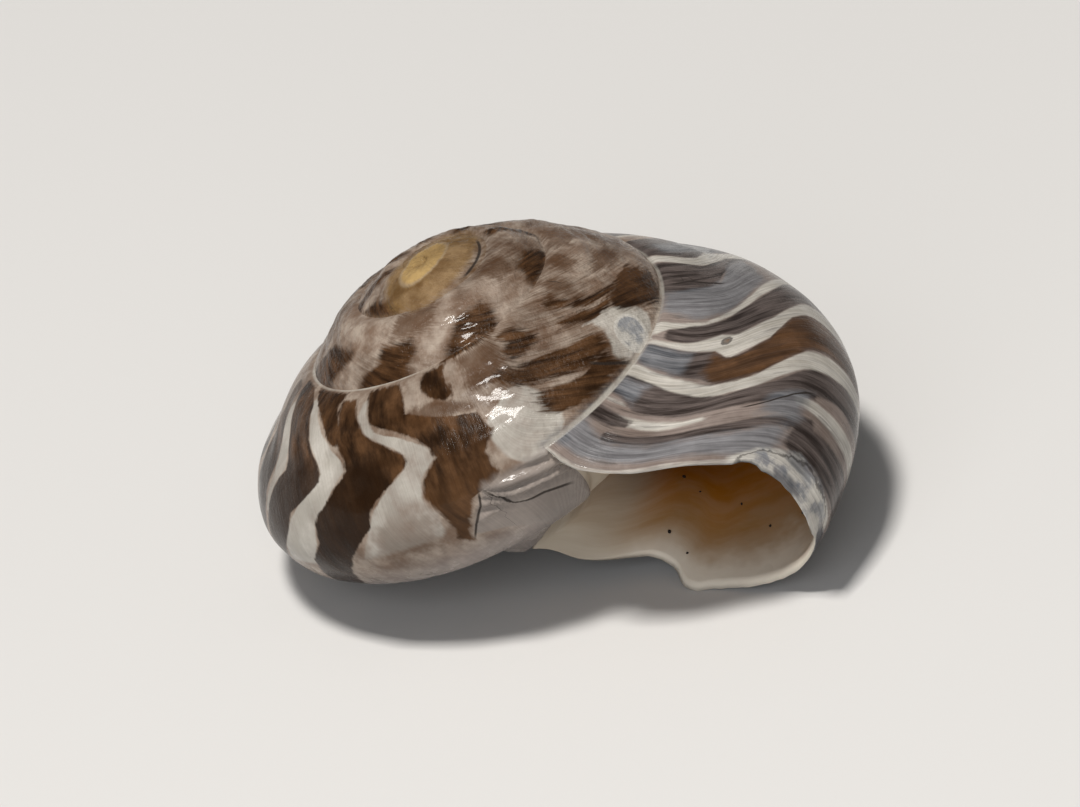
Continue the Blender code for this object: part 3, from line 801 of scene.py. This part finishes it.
def corner_facts(surface, points):
    """What the materials read at each place: triples of numbers, by attribute name, and its height."""
    vertex, growth, angle, depth = np.array(surface.places).T
    unseen = unseen_bands()
    marks = {}
    for kind, bands in BANDS.items():
        marks[kind] = marking(growth, angle, [*bands, *unseen.get(kind, ())])
    crack = crack_fields(growth, angle)
    flaked = band_field(growth, angle, FLAKED)
    seam = seam_distance(growth, angle)
    spots = points[vertex.astype(int)] * MM
    worn = patch_field(spots, growth, WORN_PATCH)
    yellow = patch_field(spots, growth, YELLOW_PATCH)
    facts = {
        "growth": (growth, angle / 100.0, seam),
        "marks": (marks["cream"], marks["dark"], marks["brown"]),
        "tints": (marks["faint"], marks["slate"], marks["glaze"]),
        "wear": (worn, yellow, depth),
        "scars": (crack[0], crack[1], ring_field(growth, angle)),
        "lip": (flaked, flake_layers(growth, angle), np.zeros_like(growth)),
    }
    height = relief(growth, angle, seam, marks, crack, flaked)
    return {name: np.stack(columns, axis=-1) for name, columns in facts.items()}, height


def raise_relief(mesh, surface, height):
    """Move the outside's vertices along their normals by the height of their places."""
    vertex = np.array([place[0] for place in surface.places])
    used = np.zeros(len(surface.places), bool)
    for face, side in zip(surface.faces, surface.sides):
        if side == OUTSIDE:
            used[list(face)] = True
    total = np.bincount(vertex[used], height[used], len(surface.points))
    count = np.bincount(vertex[used], minlength=len(surface.points))
    normals = np.zeros(len(surface.points) * 3)
    mesh.vertex_normals.foreach_get("vector", normals)
    points = np.zeros(len(surface.points) * 3)
    mesh.vertices.foreach_get("co", points)
    lift = (total / np.maximum(count, 1) / MM)[:, None]
    points = points.reshape(-1, 3) + normals.reshape(-1, 3) * lift
    points[:, 2] = np.maximum(points[:, 2], 0.0)
    mesh.vertices.foreach_set("co", points.ravel())


def store_facts(mesh, surface, facts):
    """Write each place's facts on the corners of its faces."""
    corners = np.array([corner for face in surface.faces for corner in face])
    for name, values in facts.items():
        layer = mesh.attributes.new(name, "FLOAT_VECTOR", "CORNER")
        layer.data.foreach_set("vector", values[corners].astype(np.float32).ravel())


class Tree:
    """Adds nodes to one node tree and joins them."""

    def __init__(self, tree):
        self.tree = tree

    def node(self, kind, inputs=(), **settings):
        made = self.tree.nodes.new(kind)
        for name, value in settings.items():
            setattr(made, name, value)
        for socket, value in dict(inputs).items():
            self.feed(made.inputs[socket], value)
        return made

    def feed(self, socket, value):
        if isinstance(value, bpy.types.NodeSocket):
            self.tree.links.new(value, socket)
        else:
            socket.default_value = value

    def math(self, operation, *values):
        return self.node("ShaderNodeMath", enumerate(values), operation=operation).outputs[0]

    def times(self, value, *factors):
        for factor in factors:
            value = self.math("MULTIPLY", value, factor)
        return value

    def plus(self, value, *terms):
        for term in terms:
            value = self.math("ADD", value, term)
        return value

    def mix(self, share, first, second, blend="MIX"):
        made = self.node("ShaderNodeMix", {0: share, 6: first, 7: second}, data_type="RGBA", blend_type=blend)
        return made.outputs[2]

    def cover(self, colour, mask, most, tone):
        """Lay a tone over the colour where the mask is 1, at most by the given share."""
        return self.mix(self.times(mask, most), colour, tone)

    def span(self, value, low, high, start=0.0, end=1.0):
        """Run smoothly from start to end as the value goes from low to high."""
        inputs = {0: value, 1: low, 2: high, 3: start, 4: end}
        return self.node("ShaderNodeMapRange", inputs, interpolation_type="SMOOTHSTEP").outputs[0]

    def fade(self, share, start, end):
        return self.span(share, 0.0, 1.0, start, end)

    def line(self, field, outside, inside):
        """Mask of a line where the field crosses zero."""
        return self.span(self.math("ABSOLUTE", field), outside, inside)

    def noise(self, place, scale=1.0, detail=2.0, roughness=0.6):
        inputs = {"Vector": place, "Scale": scale, "Detail": detail, "Roughness": roughness}
        return self.node("ShaderNodeTexNoise", inputs).outputs[0]

    def vector(self, *values):
        return self.node("ShaderNodeCombineXYZ", enumerate(values)).outputs[0]

    def parts(self, vector):
        return self.node("ShaderNodeSeparateXYZ", {0: vector}).outputs

    def fact(self, name):
        return self.node("ShaderNodeAttribute", attribute_name=name).outputs["Vector"]

    def group(self, group, **inputs):
        return self.node("ShaderNodeGroup", inputs, node_tree=group).outputs

    def bump(self, height, strength, distance):
        inputs = {"Strength": strength, "Distance": distance, "Height": height}
        return self.node("ShaderNodeBump", inputs).outputs[0]


def new_group(name, inputs, outputs):
    """An empty shader node group with its named sockets; returns it, its tree and its two ends."""
    group = bpy.data.node_groups.new(name, "ShaderNodeTree")
    for way, sockets in (("INPUT", inputs), ("OUTPUT", outputs)):
        for socket, kind in sockets.items():
            group.interface.new_socket(socket, in_out=way, socket_type=kind)
    tree = Tree(group)
    return group, tree, tree.node("NodeGroupInput").outputs, tree.node("NodeGroupOutput").inputs


def growth_lines_group():
    """Fine lines along the growth of the shell, as a value and as a height."""
    inputs = {"Place": VECTOR, "Fineness": FLOAT}
    group, tree, given, result = new_group("growth_lines", inputs, {"Lines": FLOAT, "Height": FLOAT})
    growth, angle, _ = tree.parts(given["Place"])
    along = tree.times(growth, given["Fineness"])
    coarse = tree.noise(tree.vector(along, tree.times(angle, 3.0)), detail=3.0)
    fine = tree.noise(tree.vector(tree.times(along, 3.7), tree.times(angle, 6.0)))
    tree.feed(result["Lines"], tree.span(coarse, 0.32, 0.68))
    tree.feed(result["Height"], tree.plus(coarse, tree.times(fine, 0.5)))
    return group


def ragged_edge_group():
    """Mask inside a marking, whose edge wanders with noise."""
    inputs = {"Field": FLOAT, "Place": VECTOR, "Wander": FLOAT, "Softness": FLOAT}
    group, tree, given, result = new_group("ragged_edge", inputs, {"Mask": FLOAT})
    growth, angle, _ = tree.parts(given["Place"])
    spot = tree.vector(tree.times(growth, 170.0), tree.times(angle, 9.0))
    shift = tree.plus(tree.noise(spot, detail=3.0), -0.5)
    field = tree.plus(given["Field"], tree.times(shift, given["Wander"]))
    tree.feed(result["Mask"], tree.span(field, tree.times(given["Softness"], -1.0), given["Softness"]))
    return group


def grain_group():
    """Fine mottling and pores over a surface, as a mask and a height."""
    inputs = {"Coordinates": VECTOR, "Scale": FLOAT}
    group, tree, given, result = new_group("grain", inputs, {"Mask": FLOAT, "Height": FLOAT})
    broad = tree.noise(given["Coordinates"], given["Scale"], 4.0)
    pores = tree.noise(given["Coordinates"], tree.times(given["Scale"], 5.0), 3.0, 0.7)
    tree.feed(result["Mask"], tree.span(broad, 0.3, 0.7))
    tree.feed(result["Height"], tree.plus(tree.times(broad, 0.6), tree.times(pores, 0.4)))
    return group


def new_material(name):
    """A material with its Principled shader; returns it, its tree, and the shader's inputs."""
    material = bpy.data.materials.new(name)
    material.use_nodes = True
    return material, Tree(material.node_tree), material.node_tree.nodes["Principled BSDF"].inputs


def grown_layer(groups, paint):
    """The patterned outside of the shell."""
    material, tree, shader = new_material("grown_layer")
    times, plus, mix, cover = tree.times, tree.plus, tree.mix, tree.cover
    span, fade, line = tree.span, tree.fade, tree.line
    growth, angle, seam = tree.parts(tree.fact("growth"))
    cream, dark, brown = tree.parts(tree.fact("marks"))
    faint, slate, glaze = tree.parts(tree.fact("tints"))
    worn, yellow, _ = tree.parts(tree.fact("wear"))
    across, along, ring = tree.parts(tree.fact("scars"))
    flaked, layer, _ = tree.parts(tree.fact("lip"))
    spot = tree.node("ShaderNodeTexCoord").outputs["Object"]

    # Where a place lies: above the last whorl, and on the last whorl's newer and older part.
    above = span(growth, -0.96, -1.02)
    streaked = times(above, span(growth, -1.30, -1.16))
    right = span(growth, -0.31, -0.22)
    left = span(growth, -0.45, -0.6)
    slanted = tree.math("SUBTRACT", growth, times(angle, 0.19, above))
    place = tree.vector(slanted, angle)
    lines, line_height = tree.group(groups["growth_lines"], Place=place, Fineness=240.0)
    streaks, _ = tree.group(groups["growth_lines"], Place=place, Fineness=75.0)
    mottle, grain_height = tree.group(groups["grain"], Coordinates=spot, Scale=900.0)
    cloud, _ = tree.group(groups["grain"], Coordinates=spot, Scale=330.0)

    def edge(field, wander, softness):
        group = groups["ragged_edge"]
        return tree.group(group, Field=field, Place=place, Wander=wander, Softness=softness)[0]

    # The ground, the smears on it and the cream stripes.
    ground = mix(mottle, paint.ground, paint.ground_light)
    ground = cover(ground, right, 0.85, paint.ground_right)
    smudge = times(cloud, fade(streaks, 0.35, 0.9), fade(above, 0.3, 1.0))
    ground = mix(smudge, ground, paint.faint)
    colour = cover(ground, edge(faint, 1.2, 0.3), 0.75, paint.faint)
    stroke = times(span(lines, 0.6, 0.95), times(streaked, 0.45))
    colour = mix(stroke, colour, paint.faint)
    combed = plus(mottle, times(tree.math("SUBTRACT", lines, mottle), fade(right, 0.2, 1.0)))
    pale = mix(combed, paint.cream, paint.cream_light)
    pale = mix(times(cloud, mottle, fade(right, 0.75, 0.1)), pale, paint.ground)
    stain = times(span(cloud, 0.2, 0.8), span(angle, 0.0, -0.22), span(growth, -0.70, -0.78))
    pale = cover(pale, stain, 0.5, paint.ground)
    colour = cover(colour, edge(plus(cream, -0.06), 0.25, 0.11), 0.9, pale)
    colour = cover(colour, times(span(angle, -0.36, -0.60), left), 0.6, paint.base)

    # The brown flames, the dark and blue-grey stripes, and the glaze on the base.
    deep = times(span(angle, 0.45, 0.10), span(growth, -0.885, -0.85), left)
    tone = times(streaks, fade(mottle, 0.5, 1.0), fade(deep, 1.0, 0.15))
    reddish = times(span(growth, -0.88, -0.90), span(angle, 0.05, -0.12), span(above, 0.5, 0.0))
    tone = plus(tone, plus(times(right, 0.3), times(reddish, 0.35)))
    brown_tone = mix(tone, paint.brown, paint.brown_light)
    brown_edge = edge(plus(brown, 0.05), fade(streaked, 0.5, 1.2), fade(above, 0.12, 0.25))
    colour = cover(colour, brown_edge, 0.985, brown_tone)
    dark_tone = mix(combed, paint.dark, paint.dark_light)
    warm = tree.math("MAXIMUM", left, edge(brown, 0.5, 0.3))
    dark_tone = cover(dark_tone, warm, 0.85, brown_tone)
    colour = cover(colour, edge(plus(dark, 0.05), 0.25, 0.1), 0.97, dark_tone)
    slate_tone = mix(lines, paint.slate, paint.slate_light)
    colour = cover(colour, edge(slate, 0.6, 0.28), 0.75, slate_tone)
    glazed = edge(glaze, 0.3, 0.2)
    colour = cover(colour, glazed, 0.85, paint.glaze)
    under = times(span(angle, -0.42, -0.66), fade(left, 0.55, 0.1))
    colour = mix(under, colour, paint.base)

    # The worn apex, the round scars and the flaked lip.
    ochre = mix(mottle, paint.ochre, paint.ochre_light)
    colour = cover(colour, edge(worn, 0.8, 0.3), 0.85, ochre)
    yellow_tone = mix(times(cloud, 0.7), paint.yellow, paint.ochre_light)
    colour = cover(colour, edge(yellow, 0.3, 0.2), 0.85, yellow_tone)
    colour = cover(colour, line(yellow, 0.16, 0.02), 0.14, paint.cream_light)
    coil = times(span(growth, -2.7, -2.9), span(seam, 0.14, 0.03))
    colour = cover(colour, coil, 0.35, paint.ochre)
    scar_pale = mix(span(mottle, 0.1, 0.7), paint.slate_light, paint.cream_light)
    scar_tone = mix(right, scar_pale, paint.brown_light)
    colour = cover(colour, span(ring, 0.0, 0.1), 0.85, scar_tone)
    rim_tone = mix(right, paint.cream_light, paint.dark)
    colour = cover(colour, line(ring, 0.09, 0.03), 0.7, rim_tone)
    flake_tone = mix(span(layer, 0.2, 0.6), paint.slate, scar_pale)
    colour = cover(colour, edge(flaked, 0.6, 0.15), 0.8, flake_tone)
    flake_edge = tree.math("SUBTRACT", flaked, times(mottle, 0.3))
    colour = cover(colour, line(flake_edge, 0.09, 0.02), 0.6, paint.crack)

    # Fine lines and shades of tone over all of it, with painted shade on the older, left part of the last
    # whorl; then the seams, and the cracks and creases, the creases' dark line being painted shade.
    fine = tree.noise(tree.vector(times(slanted, 700.0), angle), detail=3.0, roughness=0.5)
    depth = tree.math("MAXIMUM", fade(right, 0.05, 0.18), times(streaked, 0.15))
    shade = tree.math("MULTIPLY_ADD", span(fine, 0.3, 0.7, -1.0, 1.0), depth, 1.0)
    # Painted shade: the older, left part of the last whorl is made a tenth darker.
    shade = times(shade, fade(cloud, 1.08, 0.86), fade(left, 1.0, 0.90))
    hairline = times(span(lines, 0.86, 1.0), times(right, 0.32))
    colour = mix(hairline, colour, paint.dark)
    colour = mix(1.0, colour, tree.vector(shade, shade, shade), "MULTIPLY")
    lower = times(span(growth, -1.30, -1.2), span(angle, 0.3, 0.2))
    pale_seam = tree.math("MAXIMUM", span(growth, -0.94, -0.88), lower)
    pale_seam = times(pale_seam, span(seam, 0.15, 0.05), fade(cloud, 0.25, 0.85))
    colour = mix(pale_seam, colour, paint.cream)
    # Dark cracks, and painted shade along the creases in the glaze.
    crack_and_crease_shade_line = times(line(across, 1.0, 0.3), span(along, -0.1, 0.3))
    tree.feed(shader["Base Color"], cover(colour, crack_and_crease_shade_line, 0.9, paint.crack))

    gloss = fade(mottle, 0.17, 0.30)
    tree.feed(shader["Roughness"], tree.math("SUBTRACT", gloss, times(glazed, 0.05)))
    lined = tree.math("MAXIMUM", times(right, 0.6), fade(streaked, 0.25, 0.7))
    wrinkles = tree.noise(tree.vector(times(growth, 210.0), times(angle, 19.0)))
    height = plus(times(line_height, lined), times(wrinkles, times(above, 1.5)), times(grain_height, 0.6))
    tree.feed(shader["Normal"], tree.bump(height, 0.4, 0.00015))
    shader["Specular IOR Level"].default_value = 0.06
    shader["Coat Weight"].default_value = 0.11
    shader["Coat Roughness"].default_value = 0.08
    return material


def mouth_glaze(groups, paint):
    """The smooth layer that lines the mouth and the hollow."""
    material, tree, shader = new_material("mouth_glaze")
    place = tree.fact("growth")
    depth = tree.parts(tree.fact("wear"))[2]
    angle = tree.parts(place)[1]
    spot = tree.node("ShaderNodeTexCoord").outputs["Object"]
    lines, line_height = tree.group(groups["growth_lines"], Place=place, Fineness=60.0)
    mottle, grain_height = tree.group(groups["grain"], Coordinates=spot, Scale=220.0)
    reach = tree.plus(depth, tree.fade(mottle, -0.012, 0.012))
    reach = tree.math("SUBTRACT", reach, tree.span(angle, -1.55, -1.85, 0.0, 0.03))
    colour = tree.mix(tree.span(reach, 0.0, 0.065), paint.mouth_edge, paint.mouth_tan)
    # Painted glow: the orange brown deep in the mouth stands in for light that shines through the thin wall.
    colour = tree.mix(tree.span(reach, 0.04, 0.14), colour, paint.mouth_glow)
    colour = tree.mix(tree.span(angle, -1.45, -1.75, 0.0, 0.85), colour, paint.columella)
    tree.feed(shader["Base Color"], tree.cover(colour, lines, 0.1, paint.mouth_edge))
    tree.feed(shader["Roughness"], tree.fade(mottle, 0.26, 0.38))
    tree.feed(shader["Normal"], tree.bump(tree.plus(line_height, grain_height), 0.12, 0.0001))
    shader["Specular IOR Level"].default_value = 0.10
    return material


def colour_setting(name, description, colour):
    """A colour that a user may change."""
    return FloatVectorProperty(
        name=name, description=description, subtype="COLOR", size=4, min=0.0, max=1.0, default=colour + (1.0,)
    )


class TopShellPaint(bpy.types.PropertyGroup):
    """Colours of the shell."""

    ground: colour_setting("Ground", "Pinkish grey between the markings", (0.175, 0.117, 0.083))
    ground_light: colour_setting("Light ground", "Paler patches of the ground", (0.39, 0.322, 0.262))
    ground_right: colour_setting("Mauve ground", "Ground of the last part of the whorl", (0.19, 0.155, 0.14))
    faint: colour_setting("Faint brown", "Thin brown smears", (0.078, 0.038, 0.018))
    cream: colour_setting("Cream", "Pale stripes", (0.385, 0.36, 0.315))
    cream_light: colour_setting("Light cream", "Pale streaks in the pale stripes", (0.51, 0.485, 0.44))
    brown: colour_setting("Brown", "Flames", (0.016, 0.0065, 0.002))
    brown_light: colour_setting("Light brown", "Streaks in the flames", (0.105, 0.050, 0.021))
    dark: colour_setting("Dark", "Purple-grey stripes", (0.022, 0.016, 0.014))
    dark_light: colour_setting("Dark streaks", "Streaks in the dark stripes", (0.115, 0.092, 0.084))
    slate: colour_setting("Slate", "Blue-grey stretches", (0.088, 0.093, 0.104))
    slate_light: colour_setting("Light slate", "Streaks in the blue-grey", (0.215, 0.222, 0.236))
    glaze: colour_setting("Glaze", "Grey glaze beside the mouth", (0.27, 0.235, 0.21))
    base: colour_setting("Base", "Pale base", (0.30, 0.275, 0.265))
    ochre: colour_setting("Ochre", "Worn rim of the apex", (0.13, 0.07, 0.024))
    ochre_light: colour_setting("Light ochre", "Paler parts of the worn rim", (0.25, 0.155, 0.065))
    yellow: colour_setting("Yellow", "Middle of the worn apex", (0.50, 0.34, 0.14))
    sand: colour_setting("Sand", "Grains of sand in the mouth", (0.012, 0.009, 0.007))
    # Crack colour: dirt in the cracks, and painted shade in the creases of the glaze.
    crack: colour_setting("Crack", "Dirt in cracks and creases", (0.022, 0.017, 0.014))
    mouth_edge: colour_setting("Mouth edge", "Cream at the edge of the mouth", (0.70, 0.63, 0.53))
    mouth_tan: colour_setting("Mouth tan", "Tan a little way in", (0.31, 0.18, 0.078))
    columella: colour_setting("Columella", "Taupe of the inner side of the mouth", (0.32, 0.265, 0.20))
    # Painted glow of the light that shines through the thin wall, deep in the mouth.
    mouth_glow: colour_setting("Mouth depth", "Orange brown deep in the mouth", (0.40, 0.145, 0.004))


class TopShellForm(bpy.types.PropertyGroup):
    """Sizes of the fine forms."""

    relief: FloatProperty(
        name="Relief", description="How strongly the folds, wrinkles and pits stand out",
        default=1.0, min=0.0, max=2.0, subtype="FACTOR",
    )
    grain_radius: FloatProperty(
        name="Sand grain", description="Radius of the largest grain of sand in the mouth",
        default=0.0001, min=0.00001, max=0.0005, precision=5, unit="LENGTH",
    )


class TopShellStage(bpy.types.PropertyGroup):
    """Settings of the stage."""

    floor: colour_setting("Floor", "Pale floor and backdrop", (0.62, 0.612, 0.60))
    floor_width: FloatProperty(
        name="Floor width", description="Width of the floor", default=6.0, min=0.5, unit="LENGTH"
    )
    light_distance: FloatProperty(
        name="Light distance", description="From the shell to each light", default=0.6, min=0.1, unit="LENGTH"
    )
    key_power: FloatProperty(
        name="Key light", description="Power of the high key light", default=3.9, min=0.0, unit="POWER"
    )
    fill_power: FloatProperty(
        name="Fill light", description="Power of the front fill light", default=1.5, min=0.0, unit="POWER"
    )
    sky: FloatProperty(
        name="Sky", description="Strength of the even light all round",
        default=0.15, min=0.0, max=1.0, subtype="FACTOR",
    )


def add_object(context, name, data):
    """An object that shows the data, in the scene."""
    made = bpy.data.objects.new(name, data)
    context.scene.collection.objects.link(made)
    return made


def add_grains(context, surface, points):
    """Stick the grains of sand to the wall of the mouth."""
    vertex, _, angle, depth = np.array(surface.places).T
    shape = bmesh.new()
    random = np.random.default_rng(5)
    largest = context.scene.top_shell_form.grain_radius
    for inwards, around, share in SAND_GRAINS:
        off = np.hypot((depth - inwards) * TURN_MM, (angle - around) * DEGREE_MM)
        nearest = np.argmin(np.where(depth > 0.0, off, np.inf))
        stretch = random.uniform(*GRAIN_STRETCH, 3)
        turn = Matrix.Rotation(random.uniform(0.0, math.pi), 4, "X") @ Matrix.Diagonal((*stretch, 1.0))
        place = Matrix.Translation(points[int(vertex[nearest])]) @ turn
        bmesh.ops.create_icosphere(shape, subdivisions=2, radius=share * largest, matrix=place)
    mesh = bpy.data.meshes.new("sand_grains")
    shape.to_mesh(mesh)
    shape.free()
    material, _, shader = new_material("sand")
    shader["Base Color"].default_value = context.scene.top_shell_paint.sand
    shader["Roughness"].default_value = 0.6
    mesh.materials.append(material)
    grains = add_object(context, "sand_grains", mesh)
    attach(grains, "root")


class TOPSHELL_OT_lay_surface(bpy.types.Operator):
    """Lay the fine surface of the shell in place of its solid, with its relief, markings and sand"""

    bl_idname = "topshell.lay_surface"
    bl_label = "Lay the Surface"

    def execute(self, context):
        surface = Surface()
        lines = lay_outside(surface)
        lay_hollow(surface, lines)
        grown = np.array(surface.points)
        vertices = [place[0] for place in surface.places]
        faces = [[vertices[corner] for corner in face] for face in surface.faces]
        mesh = bpy.data.meshes.new("shell_surface")
        laid = laid_down(grown)
        mesh.from_pydata(laid.tolist(), [], faces)
        facts, height = corner_facts(surface, grown)
        raise_relief(mesh, surface, height * context.scene.top_shell_form.relief)
        store_facts(mesh, surface, facts)
        mesh.polygons.foreach_set("material_index", surface.sides)
        mesh.shade_smooth()
        paint = context.scene.top_shell_paint
        groups = {"growth_lines": growth_lines_group(), "ragged_edge": ragged_edge_group()}
        groups["grain"] = grain_group()
        mesh.materials.append(grown_layer(groups, paint))
        mesh.materials.append(mouth_glaze(groups, paint))
        piece = add_object(context, "shell_surface", mesh)
        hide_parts(NODE)
        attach(piece, "root")
        add_grains(context, surface, laid)
        return {"FINISHED"}


def add_light(context, name, power, size, azimuth, elevation, colour, mirrored):
    """An area light at a heading and height, aimed at the shell, which its polish mirrors or not."""
    data = bpy.data.lights.new(name, "AREA")
    data.energy = power
    data.size = size
    data.color = colour
    light = add_object(context, name, data)
    heading = math.radians(azimuth)
    rise = math.radians(elevation)
    way = Vector((math.cos(heading) * math.cos(rise), math.sin(heading) * math.cos(rise), math.sin(rise)))
    light.location = STAGE_MIDDLE + way * context.scene.top_shell_stage.light_distance
    light.rotation_euler = way.to_track_quat("Z", "Y").to_euler()
    light.visible_glossy = mirrored


class TOPSHELL_OT_set_stage(bpy.types.Operator):
    """Set the pale floor, the soft lights and the camera at the photo's view"""

    bl_idname = "topshell.set_stage"
    bl_label = "Set the Stage"

    def execute(self, context):
        scene = context.scene
        stage = scene.top_shell_stage
        scene.view_settings.view_transform = "Standard"
        floor_mesh = bpy.data.meshes.new("floor")
        half = stage.floor_width / 2.0
        corners = [(-half, -half, 0.0), (half, -half, 0.0), (half, half, 0.0), (-half, half, 0.0)]
        floor_mesh.from_pydata(corners, [], [(0, 1, 2, 3)])
        material, _, shader = new_material("pale_floor")
        shader["Base Color"].default_value = stage.floor
        shader["Roughness"].default_value = 0.9
        floor_mesh.materials.append(material)
        floor = add_object(context, "floor", floor_mesh)

        add_light(
            context, "key", stage.key_power, size=0.10, azimuth=-120.0, elevation=72.0,
            colour=(1.0, 0.97, 0.93), mirrored=True,
        )
        add_light(
            context, "fill", stage.fill_power, size=0.5, azimuth=-108.0, elevation=22.0,
            colour=(0.93, 0.96, 1.0), mirrored=False,
        )
        world = bpy.data.worlds.new("studio")
        world.use_nodes = True
        sky = world.node_tree.nodes["Background"].inputs
        sky["Color"].default_value = (1.0, 1.0, 1.0, 1.0)
        sky["Strength"].default_value = stage.sky
        scene.world = world

        camera = add_object(context, "camera", bpy.data.cameras.new("camera"))
        aim = Matrix.Rotation(math.pi / 2.0 - CAMERA_RISE, 4, "X") @ Matrix.Rotation(CAMERA_ROLL, 4, "Z")
        camera.matrix_world = Matrix.Translation(CAMERA_PLACE) @ aim
        camera.data.sensor_width = 36.0
        camera.data.lens = CAMERA_LENS
        camera.data.clip_start = 0.01
        camera.data.clip_end = 20.0
        scene.camera = camera
        return {"FINISHED"}


class TOPSHELL_PT_sidebar(bpy.types.Panel):
    """Top shell settings in the 3D view's sidebar"""

    bl_idname = "TOPSHELL_PT_sidebar"
    bl_label = "Top Shell"
    bl_space_type = "VIEW_3D"
    bl_region_type = "UI"
    bl_category = "Top Shell"

    def draw(self, context):
        for title, settings, operator in (
            ("Form", context.scene.top_shell_form, TOPSHELL_OT_lay_surface),
            ("Colours", context.scene.top_shell_paint, TOPSHELL_OT_lay_surface),
            ("Stage", context.scene.top_shell_stage, TOPSHELL_OT_set_stage),
        ):
            box = self.layout.box()
            box.label(text=title)
            for name in settings.__annotations__:
                box.prop(settings, name)
            box.operator(operator.bl_idname)


CLASSES = (
    TopShellForm, TopShellPaint, TopShellStage,
    TOPSHELL_OT_lay_surface, TOPSHELL_OT_set_stage, TOPSHELL_PT_sidebar,
)


def register():
    for kind in CLASSES:
        bpy.utils.register_class(kind)
    bpy.types.Scene.top_shell_form = PointerProperty(type=TopShellForm)
    bpy.types.Scene.top_shell_paint = PointerProperty(type=TopShellPaint)
    bpy.types.Scene.top_shell_stage = PointerProperty(type=TopShellStage)


def unregister():
    del bpy.types.Scene.top_shell_stage
    del bpy.types.Scene.top_shell_paint
    del bpy.types.Scene.top_shell_form
    for kind in reversed(CLASSES):
        bpy.utils.unregister_class(kind)


def main():
    register()
    bpy.ops.topshell.lay_surface()
    bpy.ops.topshell.set_stage()


if __name__ == "__main__":
    main()
